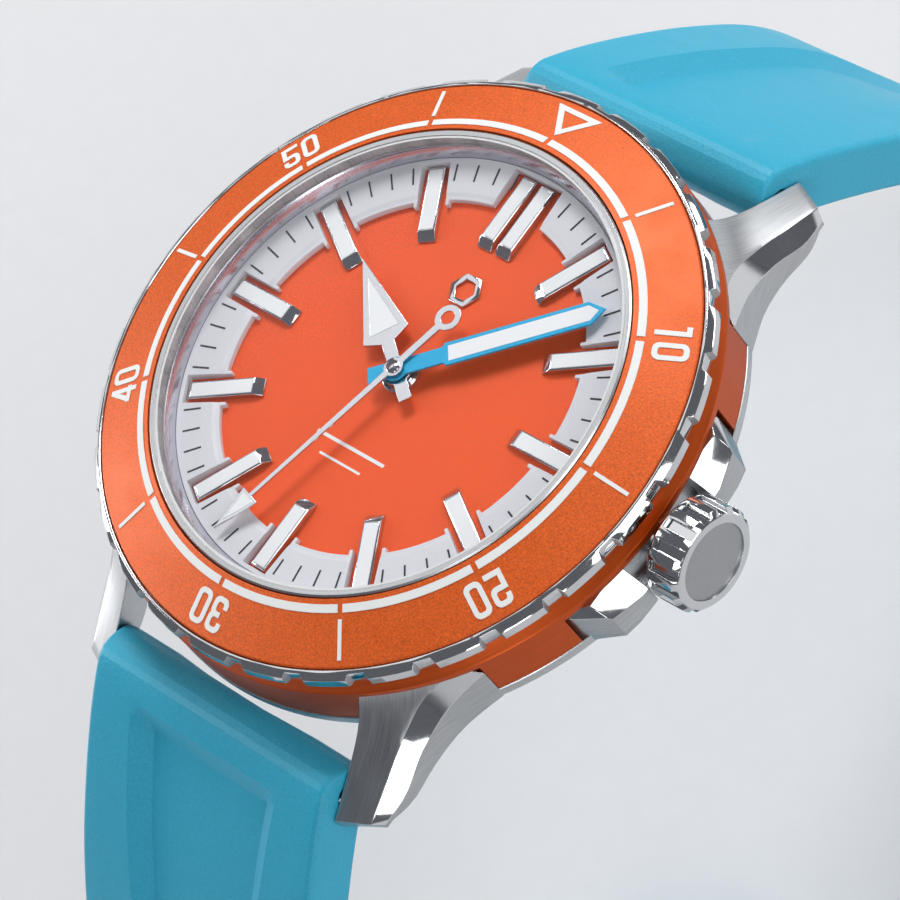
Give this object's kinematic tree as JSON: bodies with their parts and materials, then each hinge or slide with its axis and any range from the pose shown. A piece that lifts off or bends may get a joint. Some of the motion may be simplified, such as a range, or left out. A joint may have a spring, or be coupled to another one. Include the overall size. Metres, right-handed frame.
{
  "type": "dive watch",
  "caption": "Mechanical dive watch: turning bezel, baton dial, knurled crown between guards, steel lugs and a two-piece rubber strap with pin buckle, standing as an open arch.",
  "frame": {"origin": "centre of the outer face of the case back", "axes": "+Z from the wrist up through the crystal, +Y to twelve o'clock, +X to three o'clock and the crown"},
  "size_m": [0.0434, 0.104, 0.0724],
  "materials": {
    "case_steel": "brushed upper faces and polished bevels",
    "polished_steel": "mirror polished",
    "anodised_orange": "satin anodised orange",
    "insert_orange": "fine blasted orange insert",
    "dial_orange": "fine sand-textured orange lacquer",
    "chapter_grey": "light grey matte",
    "rehaut_silver": "circular brushed silver",
    "lume_white": "white luminous compound",
    "print_black": "printed black",
    "hand_blue": "satin sky blue lacquer",
    "sapphire": "clear coated sapphire",
    "gasket_black": "matte nitrile",
    "gasket_white": "translucent white sealing ring",
    "strap_rubber": "satin sky blue rubber",
    "rhodium_plate": "rhodium plated, striped bridges",
    "brass_wheel": "gilt brass",
    "ruby": "synthetic ruby",
    "blued_screw": "heat blued steel",
    "holder_grey": "light grey plastic",
    "cap_grey": "bead blasted"
  },
  "bodies": {
    "case": {"case_frame": "case_steel", "mid_case": "anodised_orange", "crown_tube": "polished_steel", "case_back": "case_steel", "case_back_crystal": "sapphire", "case_back_gasket": "gasket_black", "crystal": "sapphire", "crystal_gasket": "gasket_white", "bezel_click_spring": "polished_steel", "rehaut": "rehaut_silver", "chapter_ring": "chapter_grey", "minute_track": "print_black", "dial": "dial_orange", "dial_badge": "polished_steel", "dial_print": "lume_white", "hour_markers": "polished_steel", "marker_lume": "lume_white", "movement_holder": "holder_grey", "main_plate": "brass_wheel", "train_bridge": "rhodium_plate", "balance_cock": "rhodium_plate", "bridge_screws": "blued_screw", "bridge_jewels": "ruby", "hairspring": "blued_screw", "spring_bar_12": "polished_steel", "spring_bar_6": "polished_steel"},
    "bezel": {"bezel_ring": "polished_steel", "bezel_insert": "insert_orange", "bezel_lume": "lume_white", "bezel_gasket": "gasket_black"},
    "hour_hand": {"hour_hand": "polished_steel", "hour_lume": "lume_white"},
    "minute_hand": {"minute_hand": "hand_blue", "minute_lume": "lume_white"},
    "seconds_hand": {"seconds_hand": "polished_steel", "seconds_lume": "lume_white", "fourth_wheel": "brass_wheel"},
    "third_wheel": {"third_wheel": "brass_wheel"},
    "escape_wheel": {"escape_wheel": "polished_steel"},
    "balance_wheel": {"balance_wheel": "brass_wheel"},
    "pallet_fork": {"pallet_fork": "polished_steel"},
    "barrel": {"mainspring_barrel": "brass_wheel"},
    "rotor": {"rotor": "rhodium_plate"},
    "setting_lever": {"setting_lever": "polished_steel"},
    "crown": {"winding_stem": "polished_steel", "crown": "polished_steel", "crown_cap": "cap_grey", "crown_gasket": "gasket_black"},
    "strap_12": {"strap_12": "strap_rubber", "fixed_keeper": "strap_rubber", "buckle_bar": "polished_steel"},
    "strap_6": {"strap_6": "strap_rubber"},
    "free_keeper": {"free_keeper": "strap_rubber"},
    "buckle_frame": {"buckle_frame": "polished_steel"},
    "buckle_tongue": {"buckle_tongue": "polished_steel"}
  },
  "joints": [
    {"name": "bezel_turn", "type": "hinge", "parent": "case", "child": "bezel", "pos_m": [0, 0, 0.0085], "axis": [0, 0, 1], "continuous": true},
    {"name": "minute_turn", "type": "hinge", "parent": "case", "child": "minute_hand", "pos_m": [0, 0, 0.0089], "axis": [0, 0, 1], "continuous": true},
    {"name": "hour_turn", "type": "hinge", "parent": "case", "child": "hour_hand", "pos_m": [0, 0, 0.00865], "axis": [0, 0, 1], "continuous": true},
    {"name": "seconds_turn", "type": "hinge", "parent": "case", "child": "seconds_hand", "pos_m": [0, 0, 0.0092], "axis": [0, 0, 1], "continuous": true},
    {"name": "third_wheel_turn", "type": "hinge", "parent": "case", "child": "third_wheel", "pos_m": [0.00364, 0.0021, 0.005], "axis": [0, 0, 1], "continuous": true},
    {"name": "escape_wheel_turn", "type": "hinge", "parent": "case", "child": "escape_wheel", "pos_m": [0.00069, -0.0039, 0.005], "axis": [0, 0, 1], "continuous": true},
    {"name": "barrel_turn", "type": "hinge", "parent": "case", "child": "barrel", "pos_m": [-0.0066, 0.0052, 0.0052], "axis": [0, 0, 1], "continuous": true},
    {"name": "balance_swing", "type": "hinge", "parent": "case", "child": "balance_wheel", "pos_m": [0.0043, -0.0064, 0.0044], "axis": [0, 0, 1], "range_deg": [-135, 135], "stiffness_Nm_per_rad": 0.0000006},
    {"name": "pallet_rock", "type": "hinge", "parent": "case", "child": "pallet_fork", "pos_m": [0.0029, -0.00554, 0.0052], "axis": [0, 0, 1], "range_deg": [-5, 5]},
    {"name": "rotor_turn", "type": "hinge", "parent": "case", "child": "rotor", "pos_m": [0, 0, 0.0022], "axis": [0, 0, 1], "continuous": true},
    {"name": "crown_pull", "type": "slide", "parent": "case", "child": "setting_lever", "axis": [1, 0, 0], "range_m": [0, 0.0012]},
    {"name": "crown_turn", "type": "hinge", "parent": "setting_lever", "child": "crown", "pos_m": [0.02, 0, 0.0046], "axis": [1, 0, 0], "continuous": true},
    {"name": "strap_12_hinge", "type": "hinge", "parent": "case", "child": "strap_12", "pos_m": [0, 0.0217, 0.0015], "axis": [1, 0, 0], "range_deg": [-15, 4]},
    {"name": "strap_6_hinge", "type": "hinge", "parent": "case", "child": "strap_6", "pos_m": [0, -0.0217, 0.0015], "axis": [-1, 0, 0], "range_deg": [-15, 4]},
    {"name": "free_keeper_slide", "type": "slide", "parent": "strap_12", "child": "free_keeper", "axis": [0, 0.3584, -0.9336], "range_m": [-0.007, 0.003]},
    {"name": "buckle_frame_hinge", "type": "hinge", "parent": "strap_12", "child": "buckle_frame", "pos_m": [0, 0.04108, -0.06032], "axis": [1, 0, 0], "range_deg": [-45, 45]},
    {"name": "buckle_tongue_hinge", "type": "hinge", "parent": "buckle_frame", "child": "buckle_tongue", "pos_m": [0, 0.04108, -0.06032], "axis": [1, 0, 0], "range_deg": [0, 60]}
  ],
  "couplings": [
    {"joint": "hour_turn", "follows": "minute_turn", "ratio": 0.083333},
    {"joint": "third_wheel_turn", "follows": "seconds_turn", "ratio": -0.16667},
    {"joint": "escape_wheel_turn", "follows": "seconds_turn", "ratio": -10}
  ]
}
